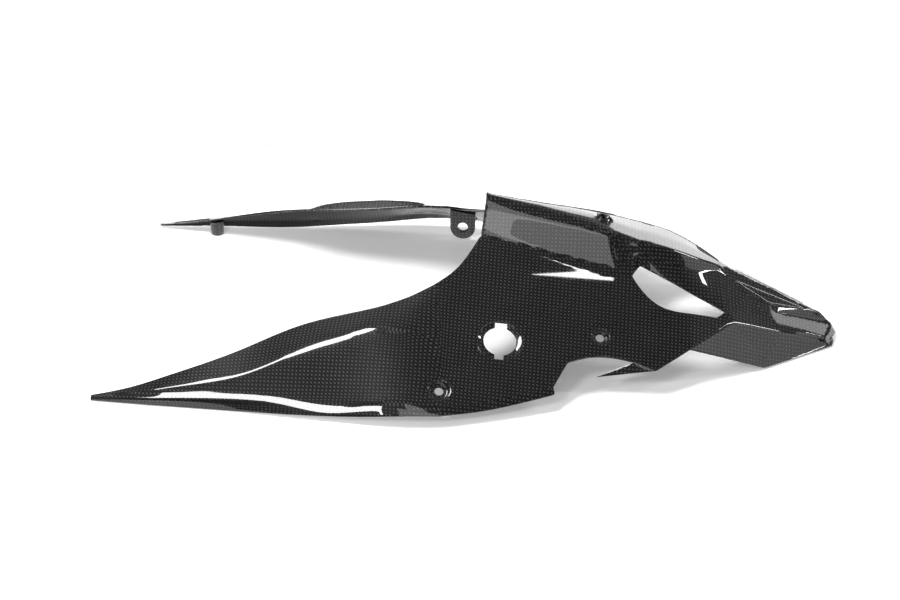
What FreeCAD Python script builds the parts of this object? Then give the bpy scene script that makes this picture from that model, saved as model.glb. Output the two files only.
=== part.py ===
import FreeCAD, Part
import os

from FreeCAD import Placement, Rotation, Vector

# Moulded undertray shell, lying upside down as it rests: +X to the tail, +Z up, centre plane Y = 0.
# One laminate of even wall: two long arms, a sloped panel on each side, a raised keel and spine
# down the middle, a window on each side of the spine and a closed tail.

doc = FreeCAD.newDocument("undertray")
sheet = doc.addObject("Spreadsheet::Sheet", "sizes")

# Plain sizes, in millimetres (the two panel falls are millimetres per millimetre).
SIZES = [
    ("wall", 1.8),
    ("panel_top", 96.35),
    ("panel_fall", 0.1654),
    ("panel_slope", 0.5635),
    ("screw_bore", 6.4),
    ("side_cup_bore", 16.0),
    ("side_cup_depth", 3.0),
    ("rear_cup_bore", 13.0),
    ("spine_cup_bore", 14.0),
    ("spine_cup_depth", 3.0),
    ("lock_bore", 24.0),
    ("lock_key_reach", 15.4),
    ("lock_key_upper", 8.8),
    ("lock_key_lower", 6.6),
    ("lock_recess_bore", 33.0),
    ("lock_recess_depth", 0.8),
    ("tab_width", 19.4),
    ("tab_thickness", 3.0),
    ("tab_bore", 8.0),
    ("tab_drop", 13.5),
    ("cup_draft", 1.6),
    ("cut_margin", 1.0),
    ("peg_width", 11.0),
    ("peg_bore", 5.0),
    ("peg_top", 13.2),
]

# Sections across one arm, tip to root: x, then distance from the centre plane and height of the
# free edge, the fold, the start of the rolled lip and the lower edge.
ARM_SECTIONS = {
    "tip": (-269.9, 139.0, 2.6, 141.8, 2.4, 142.6, 1.4, 142.8, 0.0),
    "nib": (-243.0, 134.8, 7.6, 143.0, 7.2, 144.6, 3.2, 144.8, 0.0),
    "front": (-215.0, 129.0, 15.6, 143.4, 13.6, 146.2, 5.0, 146.5, 0.0),
    "fore": (-164.8, 115.4, 30.9, 140.8, 22.8, 147.6, 7.0, 149.4, 0.0),
    "mid": (-122.6, 95.8, 42.7, 124.0, 36.5, 150.6, 9.0, 154.5, 2.0),
    "aft": (-84.0, 86.0, 50.0, 111.5, 46.0, 154.0, 11.5, 158.5, 4.5),
    "near": (-50.0, 78.0, 57.5, 104.0, 51.0, 156.0, 14.8, 160.9, 7.6),
}

# Points of the side panel's outline: x and distance from the centre plane; the height is the panel's.
PANEL_POINTS = {
    "free_root": (-28.0, 65.5),
    "fold_root": (-22.0, 106.0),
    "roll_root": (-16.0, 154.5),
    "roll_one": (9.1, 146.5),
    "roll_two": (39.6, 134.5),
    "roll_end": (62.5, 124.5),
    "notch_corner": (72.0, 104.3),
    "notch_one": (87.5, 97.7),
    "notch_two": (101.9, 95.0),
    "notch_end": (120.0, 95.3),
    "heel": (135.3, 99.0),
    "flank_foot": (159.5, 78.5),
    "window_two": (158.8, 51.8),
    "window_three": (139.0, 51.0),
    "window_four": (127.5, 45.0),
    "window_front": (115.4, 31.5),
    "crease_rear": (106.5, 30.2),
    "crease_front": (3.1, 21.5),
    "sweep_one": (-4.0, 36.0),
    "sweep_two": (-13.8, 51.7),
}

# Free points: x, distance from the centre plane, height.
FREE_POINTS = {
    "low_root": (-16.0, 159.0, 9.0),
    "low_one": (9.1, 150.8, 8.2),
    "low_two": (39.6, 138.7, 9.8),
    "low_end": (64.0, 128.0, 12.0),
    "tongue": (91.7, 98.0, 10.3),
    "peak": (5.9, 0.0, 108.7),
    "peak_edge": (5.9, 4.2, 107.0),
    "keel_front": (5.2, 7.5, 102.4),
    "keel_rear": (98.1, 18.5, 86.4),
    "ridge_one": (60.6, 0.0, 97.5),
    "ridge_two": (93.8, 0.0, 90.4),
    "ridge_three": (104.0, 0.0, 86.9),
    "ridge_four": (120.0, 0.0, 81.9),
    "ridge_five": (142.0, 0.0, 75.8),
    "ridge_six": (163.0, 0.0, 66.8),
    "ridge_end": (178.0, 0.0, 58.8),
    "strip_one": (60.6, 8.0, 97.0),
    "strip_two": (93.0, 13.6, 89.4),
    "strip_three": (104.0, 15.2, 85.8),
    "strip_four": (120.0, 17.5, 80.9),
    "strip_five": (142.0, 15.5, 75.2),
    "strip_six": (163.0, 10.5, 66.2),
    "strip_end": (178.0, 5.0, 58.3),
    "wall_front": (104.8, 17.0, 82.4),
    "wall_one": (120.5, 20.5, 73.6),
    "wall_two": (152.0, 20.5, 63.0),
    "wall_end": (180.5, 7.6, 54.0),
    "step_top": (102.4, 20.5, 77.6),
    "step_foot": (103.2, 25.0, 70.2),
    "block_top": (115.0, 21.0, 71.8),
    "block_foot": (115.9, 25.0, 66.4),
    "window_nose": (121.0, 24.0, 64.2),
    "roof_corner": (189.0, 9.0, 48.4),
    "roof_side": (217.8, 13.5, 31.4),
    "roof_rear": (247.7, 3.5, 21.8),
    "roof_mid": (217.0, 0.0, 38.8),
    "roof_end": (258.0, 0.0, 18.4),
    "rim_corner": (192.1, 45.5, 31.9),
    "rim_start": (185.4, 39.5, 37.1),
    "window_one": (179.5, 45.5, 35.5),
    "gusset_top": (202.6, 16.0, 37.5),
    "gusset_foot": (202.7, 29.5, 32.1),
    "shelf_corner": (223.5, 17.0, 26.2),
    "rim_mid": (223.9, 28.5, 22.9),
    "rim_end": (260.7, 18.5, 7.2),
    "shelf_end": (262.0, 0.0, 13.2),
    "nose_top": (266.0, 0.0, 9.6),
    "nose_foot": (269.9, 0.0, 2.4),
    "flank_one": (204.9, 41.0, 27.3),
    "flank_two": (226.1, 34.5, 19.3),
    "flank_three": (261.7, 20.6, 1.4),
    "flank_end": (266.6, 18.4, 1.2),
    "tail_foot": (215.6, 56.7, 0.7),
}

# Centres of the holes: x and distance from the centre plane.
HOLE_POINTS = {
    "side_screw": (-17.8, 141.0),
    "rear_screw": (94.4, 80.9),
    "lock": (22.5, 97.8),
    "spine_screw": (93.8, 0.0),
    "tab": (-17.0, 66.5),
    "peg": (-222.0, 133.5),
}

GUIDES = ("free", "fold", "roll", "low")

rows = list(SIZES)
for station, section in ARM_SECTIONS.items():
    rows.append((station + "_x", section[0]))
    for number, guide in enumerate(GUIDES):
        rows.append((guide + "_" + station + "_y", section[1 + 2 * number]))
        rows.append((guide + "_" + station + "_z", section[2 + 2 * number]))
for table in (PANEL_POINTS, FREE_POINTS, HOLE_POINTS):
    for name, place in table.items():
        for axis, value in zip("xyz", place):
            rows.append((name + "_" + axis, value))
for number, (alias, value) in enumerate(rows, start=1):
    sheet.set("A%d" % number, alias)
    sheet.set("B%d" % number, "%g" % value)
    sheet.setAlias("B%d" % number, alias)
doc.recompute()


def size(alias):
    """Value of one named size in the sheet."""
    return float(getattr(sheet, alias))


def panel_height(x, y):
    """Height of the side panel's plane at a place in plan."""
    return size("panel_top") - size("panel_fall") * x - size("panel_slope") * y


# Outer points of the half on the -Y side.
points = {}
for station in ARM_SECTIONS:
    for guide in GUIDES:
        stem = guide + "_" + station
        points[stem] = Vector(size(station + "_x"), -size(stem + "_y"), size(stem + "_z"))
for name in PANEL_POINTS:
    x, y = size(name + "_x"), size(name + "_y")
    points[name] = Vector(x, -y, panel_height(x, y))
for name in FREE_POINTS:
    points[name] = Vector(size(name + "_x"), -size(name + "_y"), size(name + "_z"))

STATIONS = list(ARM_SECTIONS) + ["root"]
ARM = {guide: tuple(guide + "_" + station for station in STATIONS) for guide in GUIDES}
ROLL = ("roll_root", "roll_one", "roll_two", "roll_end")
LOW = ("low_root", "low_one", "low_two", "low_end")
NOTCH = ("notch_corner", "notch_one", "notch_two", "notch_end")
WINDOW = ("window_two", "window_three", "window_four", "window_front")
SWEEP = ("crease_front", "sweep_one", "sweep_two", "free_root")
RIDGE_FRONT = ("peak", "ridge_one", "ridge_two", "ridge_three")
RIDGE_REAR = ("ridge_four", "ridge_five", "ridge_six", "ridge_end")
STRIP_FRONT = ("peak_edge", "strip_one", "strip_two", "strip_three")
STRIP_REAR = ("strip_four", "strip_five", "strip_six", "strip_end")
WALL_REAR = ("wall_one", "wall_two", "wall_end")

# Skin faces ruled between two guides.
STRIPS = [
    (ARM["free"], ARM["fold"]),
    (ARM["fold"], ARM["roll"]),
    (ARM["roll"], ARM["low"]),
    (ROLL, LOW),
    (RIDGE_FRONT, STRIP_FRONT),
    (("ridge_three", "ridge_four"), ("strip_three", "strip_four")),
    (RIDGE_REAR, STRIP_REAR),
    (STRIP_FRONT, ("keel_front", "keel_rear")),
    (("keel_front", "keel_rear"), ("crease_front", "crease_rear")),
    (("strip_three", "strip_four"), ("wall_front", "wall_one")),
    (STRIP_REAR, WALL_REAR),
    (WALL_REAR, ("window_nose", "rim_start")),
    (("wall_front", "wall_one"), ("step_top", "block_top")),
    (("step_top", "block_top"), ("step_foot", "block_foot")),
    (("step_foot", "block_foot"), ("crease_rear", "window_front")),
    (("rim_start", "gusset_foot"), ("rim_corner", "flank_one")),
    (("gusset_foot", "rim_mid"), ("flank_one", "flank_two")),
    (("rim_mid", "rim_end"), ("flank_two", "flank_three")),
]

# Sides of the flat side panel, in order round its outline.
PANEL_SIDES = [
    ("free_root", "fold_root"), ("fold_root", "roll_root"), ROLL, ("roll_end", "notch_corner"),
    NOTCH, ("notch_end", "heel"), ("heel", "flank_foot"), ("flank_foot", "window_two"),
    WINDOW, ("window_front", "crease_rear"), ("crease_rear", "crease_front"), SWEEP,
]

# Three-cornered skin faces.
FACETS = [
    ("notch_end", "heel", "tongue"),
    ("flank_foot", "rim_corner", "window_two"),
    ("rim_corner", "window_one", "window_two"),
    ("rim_corner", "rim_start", "window_one"),
    ("strip_three", "keel_rear", "wall_front"),
    ("keel_rear", "step_top", "wall_front"),
    ("keel_rear", "crease_rear", "step_foot"),
    ("keel_rear", "step_foot", "step_top"),
    ("wall_one", "block_top", "block_foot"),
    ("wall_one", "block_foot", "window_nose"),
    ("block_foot", "window_front", "window_nose"),
    ("strip_end", "wall_end", "roof_corner"),
    ("wall_end", "rim_start", "roof_corner"),
    ("roof_corner", "rim_start", "gusset_top"),
    ("gusset_top", "rim_start", "gusset_foot"),
    ("ridge_end", "strip_end", "roof_corner"),
    ("ridge_end", "roof_corner", "roof_mid"),
    ("roof_corner", "roof_side", "roof_mid"),
    ("roof_side", "roof_rear", "roof_mid"),
    ("roof_rear", "roof_end", "roof_mid"),
    ("roof_side", "shelf_corner", "roof_rear"),
    ("roof_rear", "shelf_corner", "shelf_end"),
    ("roof_rear", "shelf_end", "roof_end"),
    ("roof_corner", "gusset_top", "roof_side"),
    ("roof_side", "gusset_top", "rim_mid"),
    ("roof_side", "rim_mid", "shelf_corner"),
    ("gusset_top", "gusset_foot", "rim_mid"),
    ("flank_foot", "rim_corner", "tail_foot"),
    ("rim_corner", "flank_one", "tail_foot"),
    ("flank_one", "flank_two", "tail_foot"),
    ("flank_two", "flank_three", "tail_foot"),
    ("flank_three", "flank_end", "tail_foot"),
    ("shelf_corner", "rim_mid", "rim_end"),
    ("shelf_corner", "rim_end", "nose_top"),
    ("shelf_corner", "nose_top", "shelf_end"),
    ("nose_top", "rim_end", "nose_foot"),
    ("rim_end", "flank_three", "nose_foot"),
    ("flank_three", "flank_end", "nose_foot"),
]


def upward(vector):
    """Unit vector along the given one, on the outer (upper) side of the skin."""
    unit = Vector(vector).normalize()
    return unit if unit.z > 0 else unit * -1


def strip_normals(first, second):
    """Outer normals of a ruled strip at every point of its two guides."""
    found = []
    for own, other in ((first, second), (second, first)):
        for number, name in enumerate(own):
            before = points[own[max(number - 1, 0)]]
            after = points[own[min(number + 1, len(own) - 1)]]
            share = number / (len(own) - 1.0)
            across = points[other[int(round(share * (len(other) - 1)))]] - points[name]
            found.append((name, upward((after - before).cross(across))))
    return found


panel_out = Vector(size("panel_fall"), -size("panel_slope"), 1).normalize()
normals = {}
for first, second in STRIPS:
    for name, normal in strip_normals(first, second):
        normals.setdefault(name, []).append(normal)
for name in PANEL_POINTS:
    normals.setdefault(name, []).append(panel_out)
for corners in FACETS:
    start, second, third = (points[name] for name in corners)
    flat = upward((second - start).cross(third - start))
    for name in corners:
        normals.setdefault(name, []).append(flat)


def inner_point(name):
    """Point of the inner skin: one wall under every outer face that meets at the outer point."""
    meeting = list(normals[name])
    if abs(points[name].y) < 1e-9:
        meeting += [Vector(normal.x, -normal.y, normal.z) for normal in normals[name]]
    sums = [[1e-3 if row == column else 0.0 for column in range(3)] for row in range(3)]
    right = Vector()
    for normal in meeting:
        for row in range(3):
            for column in range(3):
                sums[row][column] += normal[row] * normal[column]
        right -= normal * size("wall")
    matrix = FreeCAD.Matrix(*(sums[0] + [0.0] + sums[1] + [0.0] + sums[2] + [0.0, 0.0, 0.0, 0.0, 1.0]))
    step = matrix.inverse().multVec(right)
    longest = 1.6 * size("wall")
    if step.Length > longest:
        step = step.normalize() * longest
    if name in PANEL_POINTS:
        step -= panel_out * (panel_out.dot(step) + size("wall"))
    return points[name] + step


inner = {name: inner_point(name) for name in points}


def side_edge(side, places):
    """Edge through the named places: a line, or a smooth curve through more than two."""
    through = [places[name] for name in side]
    if len(through) == 2:
        return Part.makeLine(through[0], through[1])
    curve = Part.BSplineCurve()
    curve.interpolate(through)
    return curve.toShape()


def skin_faces(places):
    """Faces of the outer or the inner skin."""
    faces = [
        Part.makeRuledSurface(side_edge(first, places), side_edge(second, places))
        for first, second in STRIPS
    ]
    faces.append(Part.Face(Part.Wire([side_edge(side, places) for side in PANEL_SIDES])))
    for corners in FACETS:
        ring = [places[name] for name in corners]
        faces.append(Part.Face(Part.makePolygon(ring + ring[:1])))
    return faces


def free_sides():
    """Sides that belong to one skin face only: the cut edges and the centre plane."""
    uses = {}
    for first, second in STRIPS:
        for side in (first, second, (first[0], second[0]), (first[-1], second[-1])):
            uses.setdefault(frozenset(side), []).append(side)
    for side in PANEL_SIDES:
        uses.setdefault(frozenset(side), []).append(side)
    for one, two, three in FACETS:
        for side in ((one, two), (two, three), (three, one)):
            uses.setdefault(frozenset(side), []).append(side)
    return [sides[0] for sides in uses.values() if len(sides) == 1]


faces = skin_faces(points) + skin_faces(inner)
for side in free_sides():
    faces.append(Part.makeRuledSurface(side_edge(side, points), side_edge(side, inner)))
skin = Part.Compound(faces)
skin.sewShape()
half_solid = Part.makeSolid(skin.Shells[0])
lift = -half_solid.BoundBox.ZMin
half_solid.translate(Vector(0, 0, lift))

half_shell = doc.addObject("Part::Feature", "half_shell")
half_shell.Shape = half_solid


def mirrored(source):
    """The same piece on the other side of the centre plane."""
    copy = doc.addObject("Part::Mirroring", "far_" + source.Name)
    copy.Source = source
    copy.Base = Vector(0, 0, 0)
    copy.Normal = Vector(0, 1, 0)
    return copy


def cylinder(name, radius, height, placement):
    """Part cylinder whose radius and height follow the sheet."""
    piece = doc.addObject("Part::Cylinder", name)
    piece.setExpression("Radius", radius)
    piece.setExpression("Height", height)
    piece.Placement = placement
    return piece


def cone(name, radius, far_radius, height, placement):
    """Part cone whose radii and height follow the sheet."""
    piece = doc.addObject("Part::Cone", name)
    piece.setExpression("Radius1", radius)
    piece.setExpression("Radius2", far_radius)
    piece.setExpression("Height", height)
    piece.Placement = placement
    return piece


def joined(name, pieces):
    """Union of several pieces."""
    union = doc.addObject("Part::MultiFuse", name)
    union.Shapes = pieces
    return union


# Frames on the skin: the axis runs inwards from the outer face, the second axis runs up the slope.
panel_up = Vector(0, 1, size("panel_slope")).normalize()
panel_turn = Rotation(panel_up.cross(panel_out * -1), panel_up, panel_out * -1, "ZYX")
spine_rise = points["ridge_two"] - points["ridge_three"]
spine_out = upward(spine_rise.cross(Vector(0, 1, 0)))
spine_turn = Rotation(Vector(0, 1, 0).cross(spine_out * -1), Vector(0, 1, 0), spine_out * -1, "ZYX")


def on_panel(name, outside=0.0):
    """Placement on the panel at a named hole, moved outwards by the given distance."""
    x, y = size(name + "_x"), size(name + "_y")
    base = Vector(x, -y, panel_height(x, y) + lift)
    return Placement(base + panel_out * outside, panel_turn)


def on_spine(outside=0.0):
    """Placement on the spine's ridge at its screw, moved outwards by the given distance."""
    run = (size("spine_screw_x") - points["ridge_two"].x) / (points["ridge_three"] - points["ridge_two"]).x
    base = points["ridge_two"] + (points["ridge_three"] - points["ridge_two"]) * run
    return Placement(base + Vector(0, 0, lift) + spine_out * outside, spine_turn)


margin = size("cut_margin")


def screw_cup(stem, bore, depth, place):
    """Drafted cup that sinks a screw head under the skin, with its hollow and its hole."""
    cup = cone(
        stem + "_cup", bore + " / 2 + sizes.wall", bore + " / 2 + sizes.wall - sizes.cup_draft",
        depth + " + sizes.wall", place(),
    )
    hollow = cone(
        stem + "_hollow", bore + " / 2", bore + " / 2 - sizes.cup_draft", depth, place(),
    )
    hole = cylinder(
        stem + "_hole", "sizes.screw_bore / 2", depth + " + sizes.wall + 2 * sizes.cut_margin",
        place(margin),
    )
    mouth = cylinder(stem + "_mouth", bore + " / 2", "sizes.cut_margin", place(margin))
    return cup, joined(stem + "_cut", [hollow, mouth, hole])


side_cup, side_cut = screw_cup(
    "side_screw", "sizes.side_cup_bore", "sizes.side_cup_depth", lambda out=0.0: on_panel("side_screw", out)
)
rear_cup, rear_cut = screw_cup(
    "rear_screw", "sizes.rear_cup_bore", "sizes.side_cup_depth", lambda out=0.0: on_panel("rear_screw", out)
)
spine_cup, spine_cut = screw_cup("spine_screw", "sizes.spine_cup_bore", "sizes.spine_cup_depth", on_spine)

# Seat-lock opening on the -Y side: a round hole with a key slot above and below in a shallow recess.
lock_seat = cylinder(
    "lock_seat", "sizes.lock_recess_bore / 2 + sizes.wall", "sizes.wall + sizes.lock_recess_depth",
    on_panel("lock"),
)
lock_recess = cylinder(
    "lock_recess", "sizes.lock_recess_bore / 2", "sizes.lock_recess_depth + sizes.cut_margin",
    on_panel("lock", margin),
)
lock_through = "sizes.wall + sizes.lock_recess_depth + 2 * sizes.cut_margin"
lock_hole = cylinder("lock_hole", "sizes.lock_bore / 2", lock_through, on_panel("lock", margin))
lock_keys = []
for width, side in (("lock_key_upper", 0), ("lock_key_lower", -1)):
    key = doc.addObject("Part::Box", width + "_cut")
    key.setExpression("Length", "sizes." + width)
    key.setExpression("Width", "sizes.lock_key_reach")
    key.setExpression("Height", lock_through)
    corner = Vector(-size(width) / 2, side * size("lock_key_reach"), 0)
    key.Placement = on_panel("lock", margin).multiply(Placement(corner, Rotation()))
    lock_keys.append(key)
lock_cut = joined("lock_cut", [lock_recess, lock_hole] + lock_keys)

# Drilled tab under the panel's swept front edge.
tab_x, tab_y = size("tab_x"), size("tab_y")
tab_height = panel_height(tab_x, tab_y + size("tab_thickness") / 2) - size("wall") / 2 + lift
tab_face = Rotation(Vector(1, 0, 0), 90)
tab_front = Vector(0, size("tab_thickness") / 2 - tab_y, 0)
tab_centre = Vector(tab_x, 0, tab_height - size("tab_drop")) + tab_front
half_width = size("tab_width") / 2
fall = size("panel_fall") * half_width
tab_ring = [
    tab_centre + Vector(-half_width, 0, 0),
    tab_centre + Vector(half_width, 0, 0),
    tab_centre + Vector(half_width, 0, size("tab_drop") - fall),
    tab_centre + Vector(-half_width, 0, size("tab_drop") + fall),
]
tab_sheet = doc.addObject("Part::Feature", "tab_sheet")
tab_sheet.Shape = Part.Face(Part.makePolygon(tab_ring + tab_ring[:1]))
tab_plate = doc.addObject("Part::Extrusion", "tab_plate")
tab_plate.Base = tab_sheet
tab_plate.DirMode = "Custom"
tab_plate.Dir = Vector(0, -1, 0)
tab_plate.setExpression("LengthFwd", "sizes.tab_thickness")
tab_plate.Solid = True
tab_end = cylinder("tab_end", "sizes.tab_width / 2", "sizes.tab_thickness", Placement(tab_centre, tab_face))
tab_hole = cylinder(
    "tab_hole", "sizes.tab_bore / 2", "sizes.tab_thickness + 2 * sizes.cut_margin",
    Placement(tab_centre + Vector(0, margin, 0), tab_face),
)

# Locating peg inside the arm's tip.
peg_base = Placement(Vector(size("peg_x"), -size("peg_y"), 0), Rotation())
peg = cylinder("peg", "sizes.peg_width / 2", "sizes.peg_top", peg_base)
peg_hole = cylinder("peg_hole", "sizes.peg_bore / 2", "sizes.peg_top - 2 * sizes.wall", peg_base)

added = [side_cup, rear_cup, tab_plate, tab_end, peg]
cuts = [side_cut, rear_cut, tab_hole, peg_hole]
body = joined(
    "body",
    [half_shell, mirrored(half_shell), spine_cup, lock_seat] + added + [mirrored(piece) for piece in added],
)
holes = joined("holes", [spine_cut, lock_cut] + cuts + [mirrored(piece) for piece in cuts])
shell = doc.addObject("Part::Cut", "undertray_shell")
shell.Base = body
shell.Tool = holes
shell.Refine = True
shell.Label = "undertray_shell"
doc.recompute()

for item in doc.Objects:
    if "Invalid" in item.State or "Error" in item.State:
        raise RuntimeError("object failed: " + item.Name)
for item in (half_shell, body, holes, shell):
    if item.Shape.isNull() or not item.Shape.isValid():
        raise RuntimeError("bad shape: " + item.Name)
if len(shell.Shape.Solids) != 1:
    raise RuntimeError("the shell is not one solid: %d" % len(shell.Shape.Solids))

os.makedirs("parts", exist_ok=True)
shell.Shape.exportStep("parts/" + shell.Label + ".step")
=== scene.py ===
"""Looks of a moulded carbon-fibre undertray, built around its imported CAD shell."""

import logging
import math
from dataclasses import dataclass, field
from enum import Enum
from typing import Any, Iterable, Optional, Sequence, Union

import bmesh
import bpy
import numpy as np
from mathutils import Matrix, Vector
from mathutils.geometry import delaunay_2d_cdt


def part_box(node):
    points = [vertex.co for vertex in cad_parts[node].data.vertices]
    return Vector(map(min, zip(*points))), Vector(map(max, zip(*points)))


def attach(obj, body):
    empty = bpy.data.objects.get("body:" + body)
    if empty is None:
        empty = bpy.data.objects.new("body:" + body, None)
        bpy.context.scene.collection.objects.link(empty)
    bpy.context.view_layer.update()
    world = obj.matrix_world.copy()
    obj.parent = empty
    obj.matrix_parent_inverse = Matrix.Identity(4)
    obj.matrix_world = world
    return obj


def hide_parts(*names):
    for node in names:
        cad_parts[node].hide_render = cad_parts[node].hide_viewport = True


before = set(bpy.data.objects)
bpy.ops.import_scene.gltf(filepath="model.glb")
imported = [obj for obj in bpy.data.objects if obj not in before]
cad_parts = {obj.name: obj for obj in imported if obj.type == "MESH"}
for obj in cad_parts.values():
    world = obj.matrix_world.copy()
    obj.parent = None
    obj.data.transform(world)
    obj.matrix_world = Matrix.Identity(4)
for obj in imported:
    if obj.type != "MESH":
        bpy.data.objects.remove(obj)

LOG = logging.getLogger("undertray")
NODE = "undertray_shell"
MM = 0.001
# Millimetres in one unit of the weave's map.
MAP_UNIT = 10.0
# Places that agree to one of these steps in a millimetre are one corner.
WELD_STEPS = 2000
# Share of the way to its neighbours' middle that a corner moves in one pass of rounding.
ROUNDING_STEP = 0.6
# Ahead of this x, in millimetres, the arms' tips keep their shape when the skin is rounded.
HELD_TIP = -255.0
# How far a straight side swells while it is filled, as a share of its length.
SWELL = 0.01
# A side that strays less than this from its chord, in millimetres, is straight.
STRAIGHT = 1e-4
# Distance under which the filling takes two points as one, in millimetres.
FILL_STEP = 1e-7

Place = tuple[float, float, float]
Flat = tuple[float, float]
Side = tuple[str, ...]

# Sections across one arm, tip to root: x, then distance from the centre plane and height of each guide.
ARM_GUIDES: Side = ("free", "fold", "roll", "low")
ARM_SECTIONS: dict[str, tuple[float, ...]] = {
    "tip": (-269.9, 139.0, 2.6, 141.8, 2.4, 142.6, 1.4, 142.8, 0.0),
    "nib": (-243.0, 134.8, 7.6, 141.8, 6.6, 144.6, 3.2, 144.8, 0.0),
    "front": (-215.0, 129.0, 15.6, 140.3, 12.0, 146.2, 5.0, 146.5, 0.0),
    "fore": (-164.8, 115.4, 30.9, 136.3, 20.4, 147.6, 7.0, 149.4, 0.0),
    "mid": (-122.6, 95.8, 42.7, 124.0, 36.5, 150.6, 9.0, 154.5, 2.0),
    "aft": (-84.0, 86.0, 50.0, 111.5, 46.0, 154.0, 11.5, 158.5, 4.5),
    "near": (-50.0, 78.0, 57.5, 104.0, 49.4, 156.0, 14.8, 160.9, 7.6),
}

# Points of the flat side panel: x and distance from the centre plane.
PANEL_POINTS: dict[str, Flat] = {
    "free_root": (-28.0, 65.5),
    "fold_root": (-22.0, 106.0),
    "roll_root": (-16.0, 154.5),
    "roll_one": (9.1, 146.5),
    "roll_two": (39.6, 134.5),
    "roll_end": (62.5, 124.5),
    "notch_corner": (72.0, 104.3),
    "notch_one": (87.5, 97.7),
    "notch_two": (101.9, 95.0),
    "notch_end": (120.0, 95.3),
    "heel": (135.3, 99.0),
    "flank_foot": (159.5, 78.5),
    "window_two": (158.8, 51.8),
    "window_three": (139.0, 51.0),
    "window_four": (127.5, 45.0),
    "window_front": (115.4, 31.5),
    "crease_rear": (106.5, 30.2),
    "crease_front": (3.1, 21.5),
    "sweep_one": (-4.0, 36.0),
    "sweep_two": (-13.8, 51.7),
}

# Other points of the skin: x, distance from the centre plane, height.
FREE_POINTS: dict[str, Place] = {
    "low_root": (-16.0, 159.0, 9.0),
    "low_one": (9.1, 150.8, 8.2),
    "low_two": (39.6, 138.7, 9.8),
    "low_end": (64.0, 128.0, 12.0),
    "tongue": (91.7, 98.0, 10.3),
    "peak": (5.9, 0.0, 108.7),
    "peak_edge": (5.9, 4.2, 107.0),
    "keel_front": (5.2, 7.5, 102.4),
    "keel_rear": (98.1, 18.5, 86.4),
    "ridge_one": (60.6, 0.0, 97.5),
    "ridge_two": (93.8, 0.0, 90.4),
    "ridge_three": (104.0, 0.0, 86.9),
    "ridge_four": (120.0, 0.0, 81.9),
    "ridge_five": (142.0, 0.0, 75.8),
    "ridge_six": (163.0, 0.0, 66.8),
    "ridge_end": (178.0, 0.0, 58.8),
    "strip_one": (60.6, 8.0, 97.0),
    "strip_two": (93.0, 13.6, 89.4),
    "strip_three": (104.0, 15.2, 85.8),
    "strip_four": (120.0, 17.5, 80.9),
    "strip_five": (142.0, 15.5, 75.2),
    "strip_six": (163.0, 10.5, 66.2),
    "strip_end": (178.0, 5.0, 58.3),
    "wall_front": (104.8, 17.0, 82.4),
    "wall_one": (120.5, 20.5, 73.6),
    "wall_two": (152.0, 20.5, 63.0),
    "wall_end": (180.5, 7.6, 54.0),
    "step_top": (102.4, 20.5, 77.6),
    "step_foot": (103.2, 25.0, 70.2),
    "block_top": (115.0, 21.0, 71.8),
    "block_foot": (115.9, 25.0, 66.4),
    "window_nose": (121.0, 24.0, 64.2),
    "roof_corner": (189.0, 9.0, 48.4),
    "roof_side": (217.8, 13.5, 31.4),
    "roof_rear": (247.7, 3.5, 21.8),
    "roof_mid": (217.0, 0.0, 38.8),
    "roof_end": (258.0, 0.0, 18.4),
    "rim_corner": (192.1, 45.5, 31.9),
    "rim_start": (185.4, 39.5, 37.1),
    "window_one": (179.5, 45.5, 35.5),
    "gusset_top": (202.6, 16.0, 37.5),
    "gusset_foot": (202.7, 29.5, 32.1),
    "shelf_corner": (223.5, 17.0, 26.2),
    "rim_mid": (223.9, 28.5, 22.9),
    "rim_end": (260.7, 18.5, 7.2),
    "shelf_end": (262.0, 0.0, 13.2),
    "nose_top": (266.0, 0.0, 9.6),
    "nose_foot": (269.9, 0.0, 2.4),
    "flank_one": (204.9, 41.0, 27.3),
    "flank_two": (226.1, 34.5, 19.3),
    "flank_three": (261.7, 20.6, 1.4),
    "flank_end": (266.6, 18.4, 1.2),
    "tail_foot": (215.6, 56.7, 0.7),
}

STATIONS: Side = tuple(ARM_SECTIONS) + ("root",)
ARM: dict[str, Side] = {guide: tuple(f"{guide}_{station}" for station in STATIONS) for guide in ARM_GUIDES}
ROLL: Side = ("roll_root", "roll_one", "roll_two", "roll_end")
LOW: Side = ("low_root", "low_one", "low_two", "low_end")
NOTCH: Side = ("notch_corner", "notch_one", "notch_two", "notch_end")
WINDOW: Side = ("window_two", "window_three", "window_four", "window_front")
SWEEP: Side = ("crease_front", "sweep_one", "sweep_two", "free_root")
RIDGE_FRONT: Side = ("peak", "ridge_one", "ridge_two", "ridge_three")
RIDGE_REAR: Side = ("ridge_four", "ridge_five", "ridge_six", "ridge_end")
STRIP_FRONT: Side = ("peak_edge", "strip_one", "strip_two", "strip_three")
STRIP_REAR: Side = ("strip_four", "strip_five", "strip_six", "strip_end")
WALL_REAR: Side = ("wall_one", "wall_two", "wall_end")

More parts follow.
